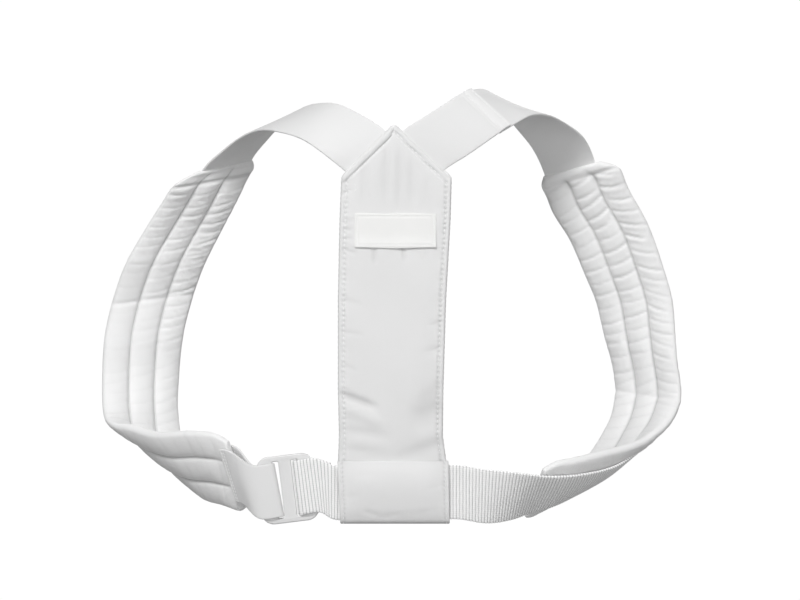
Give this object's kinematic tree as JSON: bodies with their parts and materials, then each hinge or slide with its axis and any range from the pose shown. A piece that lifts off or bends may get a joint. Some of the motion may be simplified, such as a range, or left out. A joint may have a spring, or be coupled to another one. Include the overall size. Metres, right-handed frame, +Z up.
{
  "type": "posture corrector",
  "caption": "Worn posture brace: pointed back panel with a belt tunnel, elastic shoulder straps, quilted arm pads, a slider buckle and a webbing belt.",
  "frame": {"origin": "middle of the shoulder line, under the crests of the shoulder straps", "axes": "+X to the wearer's right, +Y from the wearer's back to the chest, +Z up"},
  "size_m": [0.4316, 0.1274, 0.31],
  "materials": {
    "panel_cloth": "matt white cotton cloth with a fine plain weave and topstitched edges",
    "label_cloth": "smooth white woven label, blank",
    "elastic": "smooth white woven elastic",
    "pad_cloth": "soft matt white cloth quilted into channels",
    "buckle_plastic": "moulded white plastic, slightly satin",
    "webbing": "white ribbed webbing"
  },
  "bodies": {
    "root": {"back_panel": "panel_cloth", "belt_tunnel": "panel_cloth", "label": "label_cloth", "shoulder_strap_left": "elastic", "shoulder_strap_right_back": "elastic", "shoulder_strap_right_front": "elastic", "pad_left": "pad_cloth", "pad_right": "pad_cloth", "buckle_loop": "elastic", "buckle": "buckle_plastic", "belt": "webbing"}
  },
  "joints": []
}
